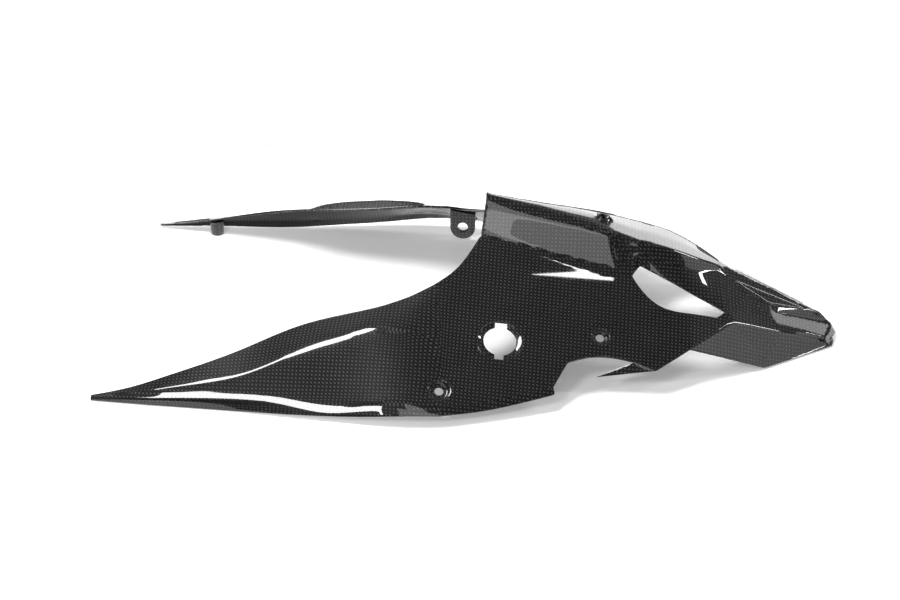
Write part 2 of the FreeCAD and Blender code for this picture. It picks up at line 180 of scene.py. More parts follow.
STRIPS: list[tuple[Side, Side]] = [
    (ARM["free"], ARM["fold"]),
    (ARM["fold"], ARM["roll"]),
    (ARM["roll"], ARM["low"]),
    (ROLL, LOW),
    (("ridge_three", "ridge_four"), ("strip_three", "strip_four")),
    (RIDGE_REAR, STRIP_REAR),
    (STRIP_FRONT, ("keel_front", "keel_rear")),
    (("keel_front", "keel_rear"), ("crease_front", "crease_rear")),
    (("strip_three", "strip_four"), ("wall_front", "wall_one")),
    (STRIP_REAR, WALL_REAR),
    (WALL_REAR, ("window_nose", "rim_start")),
    (("wall_front", "wall_one"), ("step_top", "block_top")),
    (("step_top", "block_top"), ("step_foot", "block_foot")),
    (("step_foot", "block_foot"), ("crease_rear", "window_front")),
    (("rim_start", "gusset_foot"), ("rim_corner", "flank_one")),
    (("gusset_foot", "rim_mid"), ("flank_one", "flank_two")),
    (("rim_mid", "rim_end"), ("flank_two", "flank_three")),
]

PANEL_SIDES: list[Side] = [
    ("free_root", "fold_root"), ("fold_root", "roll_root"), ROLL, ("roll_end", "notch_corner"),
    NOTCH, ("notch_end", "heel"), ("heel", "flank_foot"), ("flank_foot", "window_two"),
    WINDOW, ("window_front", "crease_rear"), ("crease_rear", "crease_front"), SWEEP,
]

FACETS: list[Side] = [
    ("notch_end", "heel", "tongue"),
    ("flank_foot", "rim_corner", "window_two"),
    ("rim_corner", "window_one", "window_two"),
    ("rim_corner", "rim_start", "window_one"),
    ("strip_three", "keel_rear", "wall_front"),
    ("keel_rear", "step_top", "wall_front"),
    ("keel_rear", "crease_rear", "step_foot"),
    ("keel_rear", "step_foot", "step_top"),
    ("wall_one", "block_top", "block_foot"),
    ("wall_one", "block_foot", "window_nose"),
    ("block_foot", "window_front", "window_nose"),
    ("strip_end", "wall_end", "roof_corner"),
    ("wall_end", "rim_start", "roof_corner"),
    ("roof_corner", "rim_start", "gusset_top"),
    ("gusset_top", "rim_start", "gusset_foot"),
    ("ridge_end", "strip_end", "roof_corner"),
    ("ridge_end", "roof_corner", "roof_mid"),
    ("roof_corner", "roof_side", "roof_mid"),
    ("roof_side", "roof_rear", "roof_mid"),
    ("roof_rear", "roof_end", "roof_mid"),
    ("roof_side", "shelf_corner", "roof_rear"),
    ("roof_rear", "shelf_corner", "shelf_end"),
    ("roof_rear", "shelf_end", "roof_end"),
    ("roof_corner", "gusset_top", "roof_side"),
    ("roof_side", "gusset_top", "rim_mid"),
    ("roof_side", "rim_mid", "shelf_corner"),
    ("gusset_top", "gusset_foot", "rim_mid"),
    ("flank_foot", "rim_corner", "tail_foot"),
    ("rim_corner", "flank_one", "tail_foot"),
    ("flank_one", "flank_two", "tail_foot"),
    ("flank_two", "flank_three", "tail_foot"),
    ("flank_three", "flank_end", "tail_foot"),
    ("shelf_corner", "rim_mid", "rim_end"),
    ("shelf_corner", "rim_end", "nose_top"),
    ("shelf_corner", "nose_top", "shelf_end"),
    ("nose_top", "rim_end", "nose_foot"),
    ("rim_end", "flank_three", "nose_foot"),
    ("flank_three", "flank_end", "nose_foot"),
]


def unit(vector: np.ndarray) -> np.ndarray:
    """Unit vector.

    Args:
        vector: any vector that isn't zero.

    Returns:
        The vector divided by its length.
    """
    return vector / np.linalg.norm(vector)


def circle(radius: float, count: int) -> list[Flat]:
    """Points spaced evenly round a circle.

    Args:
        radius: its radius.
        count: number of points.

    Returns:
        The points in order, about the origin.
    """
    angles = np.linspace(0, 2 * math.pi, count, endpoint=False)
    return [(radius * math.cos(angle), radius * math.sin(angle)) for angle in angles]


@dataclass(frozen=True)
class PanelPlane:
    """Plane of the flat side panel on the -Y side, in millimetres.

    Attributes:
        top: height at the origin.
        fall: fall per millimetre towards the tail.
        slope: fall per millimetre away from the centre plane.
    """

    top: float = 96.35
    fall: float = 0.1654
    slope: float = 0.5635

    def at(self, x: float, distance: float) -> np.ndarray:
        """Point of the panel.

        Args:
            x: place along the part.
            distance: distance from the centre plane.

        Returns:
            The point on the -Y side.
        """
        return np.array([x, -distance, self.top - self.fall * x - self.slope * distance])

    @property
    def out(self) -> np.ndarray:
        """Outward normal."""
        return unit(np.array([self.fall, -self.slope, 1.0]))

    @property
    def up(self) -> np.ndarray:
        """Direction up the slope."""
        return unit(np.array([0.0, 1.0, self.slope]))

    @property
    def along(self) -> np.ndarray:
        """Direction along the panel, square to the other two."""
        return np.cross(self.up, self.out)

    def spot(self, centre: Flat, way: float, rise: float, depth: float = 0.0) -> np.ndarray:
        """Point near the panel, told from a centre on it.

        Args:
            centre: the centre's place along the part and distance from the centre plane.
            way: distance along the panel.
            rise: distance up its slope.
            depth: depth under it.

        Returns:
            The point on the -Y side.
        """
        return self.at(*centre) + way * self.along + rise * self.up - depth * self.out


@dataclass(frozen=True)
class ScrewCup:
    """Drafted cup with a screw hole at its floor, in millimetres.

    Attributes:
        mouth: radius at the skin.
        depth: depth of the floor under the skin.
        draft: how much narrower the floor is.
        hole: radius of the hole.
        lip: way in and down of the two rings that round its lip.
        foot: way out and up of the two rings that round its foot.
        segments: number of points on a ring.
    """

    mouth: float
    depth: float = 3.0
    draft: float = 1.6
    hole: float = 3.2
    lip: tuple[Flat, Flat] = ((0.35, 0.25), (0.55, 0.8))
    foot: tuple[Flat, Flat] = ((0.1, 0.35), (-0.4, 0.0))
    segments: int = 40

    def rings(self) -> list[Flat]:
        """Radius and depth of each ring.

        Returns:
            The rings from the mouth to the hole's edge.
        """
        floor = self.mouth - self.draft
        found = [(self.mouth, 0.0)]
        found += [(self.mouth - inwards, down) for inwards, down in self.lip]
        found += [(floor + outwards, self.depth - up) for outwards, up in self.foot]
        return found + [((floor + self.hole) / 2, self.depth), (self.hole, self.depth)]


@dataclass(frozen=True)
class LockHole:
    """Keyed round hole in a shallow recess, in millimetres.

    Attributes:
        recess: radius of the recess.
        depth: depth of the recess.
        draft: how much narrower its floor is.
        knee: share of its depth that its wall reaches half way in.
        bore: radius of the hole.
        reach: distance of the key slots' ends from the centre.
        upper: width of the upper slot.
        lower: width of the lower slot.
        segments: number of points round the recess.
        arc: number of points along each side of the hole.
    """

    recess: float = 16.5
    depth: float = 0.8
    draft: float = 0.6
    knee: float = 0.6
    bore: float = 12.0
    reach: float = 15.4
    upper: float = 8.8
    lower: float = 6.6
    segments: int = 64
    arc: int = 25

    def rings(self) -> list[Flat]:
        """Radius and depth of each ring of the recess, from its mouth to its floor."""
        middle = (self.recess - self.draft / 2, self.depth * self.knee)
        return [(self.recess, 0.0), middle, (self.recess - self.draft, self.depth)]

    def outline(self) -> list[Flat]:
        """Outline of the hole with its two slots.

        Returns:
            Points in order round the hole; the second value runs up the slope.
        """
        points: list[Flat] = []
        for width, other, sign in ((self.upper, self.lower, 1.0), (self.lower, self.upper, -1.0)):
            for share in (0.5, 0.17, -0.17, -0.5):
                points.append((sign * share * width, sign * self.reach))
            first = math.pi - math.acos(width / 2 / self.bore)
            last = math.pi + math.acos(other / 2 / self.bore)
            for angle in np.linspace(first, last, self.arc):
                points.append((sign * self.bore * math.cos(angle), sign * self.bore * math.sin(angle)))
        return points


class Curve:
    """Smooth line through a few points, by the length of the chords."""

    def __init__(self, through: Sequence[np.ndarray]) -> None:
        """Fits the line.

        Args:
            through: the points, at least two.
        """
        self.points = np.array(through, float)
        chords = np.linalg.norm(np.diff(self.points, axis=0), axis=1)
        self.knots = np.concatenate([[0.0], np.cumsum(chords)]) / chords.sum()
        self.length = float(chords.sum())
        count = len(self.points)
        matrix = np.eye(count)
        right = np.zeros((count, 3))
        gaps = np.diff(self.knots)
        for row in range(1, count - 1):
            before, after = gaps[row - 1], gaps[row]
            matrix[row, row - 1:row + 2] = (before, 2 * (before + after), after)
            rise_before = (self.points[row] - self.points[row - 1]) / before
            rise_after = (self.points[row + 1] - self.points[row]) / after
            right[row] = 6 * (rise_after - rise_before)
        self.bends = np.linalg.solve(matrix, right)

    def at(self, share: Union[float, np.ndarray]) -> np.ndarray:
        """Points of the line.

        Args:
            share: place along the line, 0 to 1, or an array of them.

        Returns:
            One point for each place.
        """
        places = np.atleast_1d(np.asarray(share, float))
        piece = np.clip(np.searchsorted(self.knots, places, side="right") - 1, 0, len(self.knots) - 2)
        gap = (self.knots[piece + 1] - self.knots[piece])[:, None]
        right = (places - self.knots[piece])[:, None] / gap
        left = 1 - right
        bend = (left ** 3 - left) * self.bends[piece] + (right ** 3 - right) * self.bends[piece + 1]
        return left * self.points[piece] + right * self.points[piece + 1] + bend * gap ** 2 / 6


class Skin:
    """Triangles of a surface, welded by place, with a flat map for the weave on each patch."""

    def __init__(self, open_upwards: bool = False) -> None:
        """Starts with no triangles.

        Args:
            open_upwards: whether this is an open surface whose outside is its upper side.
        """
        self.open_upwards = open_upwards
        self.places: list[np.ndarray] = []
        self.index: dict[tuple[int, int, int], int] = {}
        self.triangles: list[tuple[int, int, int]] = []
        self.maps: list[tuple[Flat, ...]] = []
        self.pinned: set[int] = set()

    def corner(self, place: np.ndarray) -> int:
        """Number of the corner at a place, made if it is new.

        Args:
            place: the place in millimetres.

        Returns:
            The corner's number.
        """
        key = tuple(int(round(value * WELD_STEPS)) for value in place)
        if key not in self.index:
            self.index[key] = len(self.places)
            self.places.append(np.array(place, float))
        return self.index[key]

    def patch(self, places: np.ndarray, triangles: Iterable[Sequence[int]], facing: np.ndarray) -> list[int]:
        """Adds one patch that faces a given way.

        Args:
            places: the patch's corners.
            triangles: three numbers of corners each.
            facing: direction that the patch faces.

        Returns:
            The numbers of the corners in the whole surface.
        """
        numbers = [self.corner(place) for place in places]
        normal = unit(facing)
        along = np.array([1.0, 0.0, 0.0]) - normal * normal[0]
        # A patch that faces along X takes the direction of its map from Y.
        if np.linalg.norm(along) < 0.2:
            along = np.array([0.0, 1.0, 0.0]) - normal * normal[1]
        along = unit(along)
        across = np.cross(normal, along)
        for one, two, three in triangles:
            turn = np.cross(places[two] - places[one], places[three] - places[one])
            order = (one, two, three) if turn @ normal > 0 else (one, three, two)
            chosen = tuple(numbers[corner] for corner in order)
            if len(set(chosen)) == 3:
                self.triangles.append(chosen)
                self.maps.append(tuple((float(places[c] @ along), float(places[c] @ across)) for c in order))
        return numbers

    def quad(self, corners: Sequence[np.ndarray], facing: np.ndarray) -> None:
        """Adds one four-cornered patch.

        Args:
            corners: its corners, two by two.
            facing: direction that it faces.
        """
        self.patch(np.array(corners), [(0, 1, 3), (0, 3, 2)], facing)

    def absorb_mirrored(self, other: "Skin") -> None:
        """Adds another surface, mirrored in the centre plane.

        Args:
            other: the surface to mirror.
        """
        flip = np.array([1.0, -1.0, 1.0])
        twin = [self.corner(place * flip) for place in other.places]
        self.pinned |= {twin[number] for number in other.pinned}
        for (one, two, three), (map_one, map_two, map_three) in zip(other.triangles, other.maps):
            self.triangles.append((twin[one], twin[three], twin[two]))
            self.maps.append(tuple((place[0], -place[1]) for place in (map_one, map_three, map_two)))

    def soften(self, rounds: int, reach: np.ndarray, edge: float) -> None:
        """Rounds the creases by averaging neighbours.

        Open edges are rounded along themselves, and pinned corners stay.

        Args:
            rounds: number of passes.
            reach: weight of each corner, 0 to 1.
            edge: weight of the corners on open edges, 0 to 1.
        """
        places = np.array(self.places)
        faces = np.array(self.triangles)
        ends = np.concatenate([faces[:, [0, 1]], faces[:, [1, 2]], faces[:, [2, 0]]])
        keys, counts = np.unique(np.sort(ends, axis=1), axis=0, return_counts=True)
        rim = np.zeros(len(places), bool)
        rim[keys[counts == 1].ravel()] = True
        weight = np.where(rim, edge, ROUNDING_STEP * reach)
        weight[list(self.pinned)] = 0.0
        weight[places[:, 0] < HELD_TIP] = 0.0
        both = np.concatenate([keys, keys[:, ::-1]])
        along = np.tile(counts == 1, 2)
        both = both[~rim[both[:, 0]] | along]
        degree = np.bincount(both[:, 0], minlength=len(places)).astype(float)
        for _ in range(rounds):
            total = np.zeros_like(places)
            for axis in range(3):
                total[:, axis] = np.bincount(both[:, 0], places[both[:, 1], axis], minlength=len(places))
            places += weight[:, None] * (total / np.maximum(degree, 1)[:, None] - places)
        self.places = list(places)

    def mesh(self, name: str, lift: float) -> bpy.types.Mesh:
        """Blender mesh of the surface, in metres.

        Args:
            name: the mesh's name.
            lift: height of the skin's zero over the ground, in millimetres.

        Returns:
            The mesh, with a UV map for the weave.
        """
        made = bpy.data.meshes.new(name)
        points = (np.array(self.places) + np.array([0.0, 0.0, lift])) * MM
        made.from_pydata([tuple(point) for point in points], [], self.triangles)
        layer = made.uv_layers.new(name="weave")
        flat = np.array(self.maps, float).reshape(-1) / MAP_UNIT
        layer.data.foreach_set("uv", flat.astype(np.float32))
        turned = bmesh.new()
        turned.from_mesh(made)
        loose = [corner for corner in turned.verts if not corner.link_faces]
        bmesh.ops.delete(turned, geom=loose, context="VERTS")
        bmesh.ops.recalc_face_normals(turned, faces=turned.faces)
        if self.open_upwards and sum(face.normal.z * face.calc_area() for face in turned.faces) < 0:
            bmesh.ops.reverse_faces(turned, faces=turned.faces)
        turned.to_mesh(made)
        turned.free()
        made.update()
        return made


def within(point: np.ndarray, ring: np.ndarray) -> bool:
    """Whether a flat point is inside an outline.

    Args:
        point: the point.
        ring: the outline's points in order.

    Returns:
        True inside.
    """
    after = np.roll(ring, -1, axis=0)
    crosses = (ring[:, 1] > point[1]) != (after[:, 1] > point[1])
    tiny = 1e-12
    rise = after[:, 1] - ring[:, 1]
    rise = np.where(np.abs(rise) < tiny, tiny, rise)
    at = ring[:, 0] + (point[1] - ring[:, 1]) * (after[:, 0] - ring[:, 0]) / rise
    return bool(np.count_nonzero(crosses & (at > point[0])) % 2)


def filled(
    ring: Sequence[Flat], inside: Sequence[Flat], holes: Sequence[Sequence[Flat]] = (),
) -> tuple[np.ndarray, list[list[int]]]:
    """Triangles that fill a flat outline.

    Args:
        ring: the outline, in order.
        inside: further points inside it.
        holes: outlines of the holes in it.

    Returns:
        The points and the triangles; the ring's points come first, then the holes', in order.
    """
    points = [Vector(point) for point in ring]
    edges = [(number, (number + 1) % len(ring)) for number in range(len(ring))]
    for hole in holes:
        start = len(points)
        points += [Vector(point) for point in hole]
        edges += [(start + number, start + (number + 1) % len(hole)) for number in range(len(hole))]
    points += [Vector(point) for point in inside]
    found, _, faces, _, _, _ = delaunay_2d_cdt(points, edges, [], 0, FILL_STEP)
    flat = np.array([tuple(point) for point in found])
    kept = []
    outlines = [np.array(ring)] + [np.array(hole) for hole in holes]
    for face in faces:
        centre = flat[list(face)].mean(0)
        if within(centre, outlines[0]) and not any(within(centre, hole) for hole in outlines[1:]):
            kept.append(list(face))
    return flat, kept


def bulged(sides: Sequence[np.ndarray]) -> list[Flat]:
    """Outline whose straight sides swell a little, so that no three of its points are in line.

    Args:
        sides: the points of each side in order, without the last one.

    Returns:
        The outline's points.
    """
    ring = np.concatenate(sides)
    after = np.roll(ring, -1, axis=0)
    turn = np.sign(np.sum(ring[:, 0] * after[:, 1] - after[:, 0] * ring[:, 1]))
    found: list[Flat] = []
    for number, side in enumerate(sides):
        start, end = side[0], sides[(number + 1) % len(sides)][0]
        way, length = unit(end - start), np.linalg.norm(end - start)
        outward = np.array([way[1], -way[0]]) * turn
        off = (side - start) @ outward
        if np.abs(off).max() < STRAIGHT:
            share = (side - start) @ way / length
            side = side + np.outer(SWELL * length * 4 * share * (1 - share), outward)
        found += [(float(point[0]), float(point[1])) for point in side]
    return found


def lattice(rings: Sequence[np.ndarray], pitch: float, clear: float = 0.62) -> list[Flat]:
    """Points of a triangular lattice inside the first outline, clear of every outline.

    Args:
        rings: the outer outline, then those of the holes.
        pitch: distance between points.
        clear: distance kept from the outlines, in pitches.

    Returns:
        The points.
    """
    low, high = rings[0].min(0), rings[0].max(0)
    every = np.concatenate(rings)
    found: list[Flat] = []
    row = 0
    height = pitch * math.sqrt(0.75)
    y = low[1] + height / 2
    while y < high[1]:
        x = low[0] + (pitch / 2 if row % 2 else pitch)
        while x < high[0]:
            point = np.array([x, y])
            near = np.min(np.hypot(every[:, 0] - x, every[:, 1] - y))
            held = near > clear * pitch and within(point, rings[0])
            if held and not any(within(point, hole) for hole in rings[1:]):
                found.append((x, y))
            x += pitch
        y += height
        row += 1
    return found


@dataclass
class ShellSkin:
    """Outer skin of the shell, patch by patch.

    Attributes:
        pitch: usual size of a triangle, in millimetres.
        plane: plane of the side panel.
        side_screw: place along the part and distance from the centre plane of the side screw.
        rear_screw: the same of the rear screw.
        lock: the same of the keyed hole.
        spine_screw: place along the part of the spine's screw.
    """

    pitch: float = 2.2
    plane: PanelPlane = field(default_factory=PanelPlane)
    side_screw: Flat = (-17.8, 141.0)
    rear_screw: Flat = (94.4, 80.9)
    lock: Flat = (22.5, 97.8)
    spine_screw: float = 93.8

    def __post_init__(self) -> None:
        """Places every named point on the -Y side."""
        self.points: dict[str, np.ndarray] = {}
        for station, section in ARM_SECTIONS.items():
            for number, guide in enumerate(ARM_GUIDES):
                y, z = section[1 + 2 * number], section[2 + 2 * number]
                self.points[f"{guide}_{station}"] = np.array([section[0], -y, z])
        for name, (x, y) in PANEL_POINTS.items():
            self.points[name] = self.plane.at(x, y)
        for name, (x, y, z) in FREE_POINTS.items():
            self.points[name] = np.array([x, -y, z])
        self.samples: dict[frozenset[str], tuple[Side, np.ndarray, np.ndarray]] = {}
        self.skin = Skin()

    def side(self, names: Side) -> tuple[np.ndarray, np.ndarray]:
        """Samples of one side, the same for every patch that shares it.

        Args:
            names: the side's points, in order.

        Returns:
            Places along the side, 0 to 1, and their points.
        """
        key = frozenset(names)
        if key not in self.samples:
            curve = Curve([self.points[name] for name in names])
            shares = np.linspace(0, 1, max(1, math.ceil(curve.length / self.pitch)) + 1)
            self.samples[key] = (names, shares, curve.at(shares))
        own, shares, points = self.samples[key]
        if own[0] == names[0]:
            return shares, points
        return 1 - shares[::-1], points[::-1]

    @staticmethod
    def upward(normal: np.ndarray) -> np.ndarray:
        """The given direction or its opposite, whichever points up.

        Args:
            normal: a direction.

        Returns:
            The upward one.
        """
        return normal if normal[2] > 0 else -normal

    def strip(self, first: Side, second: Side) -> None:
        """Adds a patch ruled between two guides.

        Args:
            first: names along one guide.
            second: names along the other, in the same direction.
        """
        one, two = (Curve([self.points[name] for name in names]) for names in (first, second))
        length = (one.length + two.length) / 2
        stations = np.linspace(0, 1, 9)
        spans = np.linalg.norm(one.at(stations) - two.at(stations), axis=1)
        width = max(float(spans.mean()), 1.0)
        sides: list[np.ndarray] = []
        edge: list[np.ndarray] = []
        bounds = (
            (first, lambda s: (s * length, 0.0)),
            ((first[-1], second[-1]), lambda s: (length, s * width)),
            (tuple(reversed(second)), lambda s: ((1 - s) * length, width)),
            ((second[0], first[0]), lambda s: (0.0, (1 - s) * width)),
        )
        for names, place in bounds:
            shares, points = self.side(names)
            sides.append(np.array([place(share) for share in shares[:-1]]))
            edge += list(points[:-1])
        ring = bulged(sides)
        flat, faces = filled(ring, lattice([np.array(ring)], self.pitch))
        body = flat[len(ring):]
        share, across = body[:, 0] / length, body[:, 1:] / width
        rows = one.at(share) * (1 - across) + two.at(share) * across
        along = self.points[first[-1]] - self.points[first[0]]
        facing = self.upward(np.cross(along, two.at(0.5)[0] - one.at(0.5)[0]))
        self.skin.patch(np.concatenate([np.array(edge), rows]), faces, facing)

    def facet(self, names: Side) -> None:
        """Adds a flat three-cornered patch.

        Args:
            names: its three corners.
        """
        start, second, third = (self.points[name] for name in names)
        normal = self.upward(unit(np.cross(second - start, third - start)))
        across = unit(second - start)
        up = np.cross(normal, across)
        turned = np.stack([across, up], axis=1)
        rows = [self.side((names[one], names[two]))[1][:-1] for one, two in ((0, 1), (1, 2), (2, 0))]
        edge = [place for row in rows for place in row]
        ring = bulged([(row - start) @ turned for row in rows])
        flat, faces = filled(ring, lattice([np.array(ring)], self.pitch))
        body = flat[len(ring):]
        middle = start + body[:, :1] * across + body[:, 1:] * up
        self.skin.patch(np.concatenate([np.array(edge), middle]), faces, normal)

    def panel(self, holes: dict[Flat, list[Flat]]) -> None:
        """Adds the flat side panel with its holes.

        Args:
            holes: for each hole's centre in plan, its outline about the centre.
        """
        origin = self.points["crease_front"]
        along, up = self.plane.along, self.plane.up
        turned = np.stack([along, up], axis=1)
        rows = [self.side(names)[1][:-1] for names in PANEL_SIDES]
        edge = [place for row in rows for place in row]
        ring = bulged([(row - origin) @ turned for row in rows])
        outlines: list[list[Flat]] = []
        for centre, outline in holes.items():
            middle = self.plane.at(*centre) - origin
            base = (float(middle @ along), float(middle @ up))
            outlines.append([(base[0] + a, base[1] + b) for a, b in outline])
        rings = [np.array(ring)] + [np.array(outline) for outline in outlines]
        flat, faces = filled(ring, lattice(rings, self.pitch), outlines)
        places = origin + flat[:, :1] * along + flat[:, 1:] * up
        places[:len(ring)] = np.array(edge)
        self.skin.patch(places, faces, self.plane.out)

    def rings(self, rows: Sequence[Sequence[np.ndarray]], facing: np.ndarray, closed: bool = True) -> None:
        """Adds bands between rows of points, held against rounding.

        Args:
            rows: rows with the same number of points each.
            facing: direction that the bands face.
            closed: whether each row runs all the way round.
        """
        count = len(rows[0])
        last = count if closed else count - 1
        for upper, lower in zip(rows, rows[1:]):
            faces: list[tuple[int, int, int]] = []
            for number in range(last):
                after = (number + 1) % count
                faces += [(number, after, count + number), (after, count + after, count + number)]
            self.skin.pinned |= set(self.skin.patch(np.array(list(upper) + list(lower)), faces, facing))

    def pierce(self, centre: Flat, cup: ScrewCup, margin: float = 0.6, spread: float = 1.2) -> None:
        """Opens a cup's mouth where it crosses the seam of two patches.

        Args:
            centre: its centre in plan.
            cup: its sizes.
            margin: width of the band that is cut out round the mouth, in pitches.
            spread: how far the cut's border is drawn out in the flat while the band is filled.
        """
        base = self.plane.at(*centre)
        places = np.array(self.skin.places)
        flat = (places - base) @ np.stack([self.plane.along, self.plane.up], axis=1)
        inside = np.linalg.norm(flat, axis=1) < cup.mouth + margin * self.pitch
        inside &= np.abs((places - base) @ self.plane.out) < cup.mouth
        cut = [bool(inside[list(corners)].any()) for corners in self.skin.triangles]
        edges: set[tuple[int, int]] = set()
        for (one, two, three), gone in zip(self.skin.triangles, cut):
            if gone:
                edges |= {(one, two), (two, three), (three, one)}
        after = {start: end for start, end in edges if (end, start) not in edges}
        loop = [min(after)]
        while after[loop[-1]] != loop[0]:
            loop.append(after[loop[-1]])
        self.skin.triangles = [corners for corners, gone in zip(self.skin.triangles, cut) if not gone]
        self.skin.maps = [corners for corners, gone in zip(self.skin.maps, cut) if not gone]
        border = flat[loop]
        border = border * np.sqrt(cup.mouth / np.linalg.norm(border, axis=1))[:, None] * spread
        mouth = circle(cup.mouth, cup.segments)
        _, faces = filled([(float(a), float(b)) for a, b in border], [], [mouth])
        edge = [self.plane.spot(centre, a, b) for a, b in mouth]
        self.skin.patch(np.concatenate([places[loop], np.array(edge)]), faces, self.plane.out)

    def bowl(self, centre: Flat, sizes: Union[ScrewCup, LockHole]) -> None:
        """Adds the rings of a screw cup or of the lock's recess under its mouth in the panel.

        Args:
            centre: its centre in plan.
            sizes: its sizes.
        """
        rows = [
            [self.plane.spot(centre, a, b, depth) for a, b in circle(radius, sizes.segments)]
            for radius, depth in sizes.rings()
        ]
        self.rings(rows, self.plane.out)

    def lock_floor(self, lock: LockHole) -> None:
        """Adds the keyed floor of the lock's recess.

        Args:
            lock: its sizes.
        """
        radius, depth = lock.rings()[-1]
        flat, faces = filled(circle(radius, lock.segments), [], [lock.outline()])
        places = np.array([self.plane.spot(self.lock, a, b, depth) for a, b in flat])
        self.skin.pinned |= set(self.skin.patch(places, faces, self.plane.out))

    def spine_front(self, cup: ScrewCup, clear: float = 0.5) -> None:
        """Adds the front of the spine's top strip with half of its screw cup.

        Args:
            cup: the cup's sizes.
            clear: distance kept between the cup's mouth and the next point of the ridge.
        """
        ridge, edge = self.side(RIDGE_FRONT)[1], self.side(STRIP_FRONT)[1]
        rise = unit(self.points["ridge_two"] - self.points["ridge_three"])
        out = self.upward(np.cross(rise, np.array([0.0, 1.0, 0.0])))
        lean = abs(rise[0])

        def drape(x: float, distance: float) -> np.ndarray:
            """Point of the strip.

            Args:
                x: place along the part.
                distance: distance from the centre plane.

            Returns:
                The point on the -Y side.
            """
            share = distance / np.interp(x, edge[:, 0], -edge[:, 1])
            high = np.interp(x, ridge[:, 0], ridge[:, 2])
            low = np.interp(x, edge[:, 0], edge[:, 2])
            return np.array([x, -distance, high + share * (low - high)])

        angles = np.linspace(math.pi, 0, cup.segments // 2 + 1)
        mouth = cup.mouth * lean
        arc = [drape(self.spine_screw + mouth * math.cos(a), cup.mouth * math.sin(a)) for a in angles]
        gap = mouth + clear
        rows = [
            np.array([p for p in ridge[:-1] if p[0] < self.spine_screw - gap]),
            np.array(arc[:-1]),
            np.array([arc[-1]] + [p for p in ridge[:-1] if p[0] > self.spine_screw + gap]),
            self.side(("ridge_three", "strip_three"))[1][:-1],
            self.side(tuple(reversed(STRIP_FRONT)))[1][:-1],
            self.side(("peak_edge", "peak"))[1][:-1],
        ]
        border = [place for row in rows for place in row]
        ring = bulged([row[:, :2] * np.array([1.0, -1.0]) for row in rows])
        flat, faces = filled(ring, lattice([np.array(ring)], self.pitch))
        body = [drape(x, y) for x, y in flat[len(ring):]]
        self.skin.patch(np.array(border + body), faces, out)
        centre = drape(self.spine_screw, 0.0)
        bands = [arc]
        for radius, depth in cup.rings()[1:]:
            bands.append([
                centre + radius * math.cos(a) * rise * np.sign(rise[0])
                - np.array([0.0, radius * math.sin(a), 0.0]) - depth * out
                for a in angles
            ])
        self.rings(bands, out, closed=False)

    def build(self, with_lock: bool) -> Skin:
        """Builds half of the skin, on the -Y side.

        Args:
            with_lock: whether this half has the lock's hole.

        Returns:
            The half.
        """
        self.skin = Skin(open_upwards=True)
        side, rear, spine, lock = ScrewCup(8.0), ScrewCup(6.5), ScrewCup(7.0), LockHole()
        for first, second in STRIPS:
            self.strip(first, second)
        self.spine_front(spine)
        for names in FACETS:
            self.facet(names)
        holes = {self.rear_screw: circle(rear.mouth, rear.segments)}
        if with_lock:
            holes[self.lock] = circle(lock.recess, lock.segments)
        self.panel(holes)
        self.pierce(self.side_screw, side)
        self.bowl(self.side_screw, side)
        self.bowl(self.rear_screw, rear)
        if with_lock:
            self.bowl(self.lock, lock)
            self.lock_floor(lock)
        return self.skin


@dataclass(frozen=True)
class Tab:
    """Drilled round-ended tab under the panel's swept edge, in millimetres.

    Attributes:
        x: place along the part.
        distance: distance of its middle plane from the centre plane.
        width: its width.
        thickness: its thickness.
        bore: radius of its hole.
        drop: length of its straight sides.
        sunk: depth under the skin that the sides are measured from.
        short: how much its top falls short of them, so that it ends inside the wall.
        arc: number of points round its end.
        segments: number of points round its hole.
    """

    x: float = -17.0
    distance: float = 66.5
    width: float = 19.4
    thickness: float = 3.0
    bore: float = 4.0
    drop: float = 13.5
    sunk: float = 0.9
    short: float = 0.8
    arc: int = 25
    segments: int = 32

    def build(self, plane: PanelPlane) -> Skin:
        """Builds the tab on the -Y side.

        Args:
            plane: plane of the panel it hangs from.

        Returns:
            The closed surface.
        """
        skin = Skin()
        half = self.width / 2
        top = plane.at(self.x, self.distance + self.thickness / 2)[2] - self.sunk
        middle = top - self.drop
        fall = plane.fall * half
        outline = [(half, self.drop - fall - self.short), (-half, self.drop + fall - self.short)]
        angles = np.linspace(math.pi, 2 * math.pi, self.arc)
        outline += [(half * math.cos(angle), half * math.sin(angle)) for angle in angles]
        hole = circle(self.bore, self.segments)
        flat, faces = filled(outline, [], [hole])
        for depth, facing in ((-self.thickness / 2, -1.0), (self.thickness / 2, 1.0)):
            places = np.array([[self.x + a, -self.distance + depth, middle + b] for a, b in flat])
            skin.patch(places, faces, np.array([0.0, facing, 0.0]))
        for ring, sign in ((outline, 1.0), (hole, -1.0)):
            for number, (a, b) in enumerate(ring):
                c, d = ring[(number + 1) % len(ring)]
                corners = [
                    np.array([self.x + u, -self.distance + t, middle + v])
                    for u, v in ((a, b), (c, d)) for t in (-self.thickness / 2, self.thickness / 2)
                ]
                facing = np.array([d - b, 0.0, a - c]) * sign
                outward = np.array([(a + c) / 2, 0.0, (b + d) / 2]) * sign
                skin.quad(corners, facing if facing @ outward > 0 else -facing)
        return skin


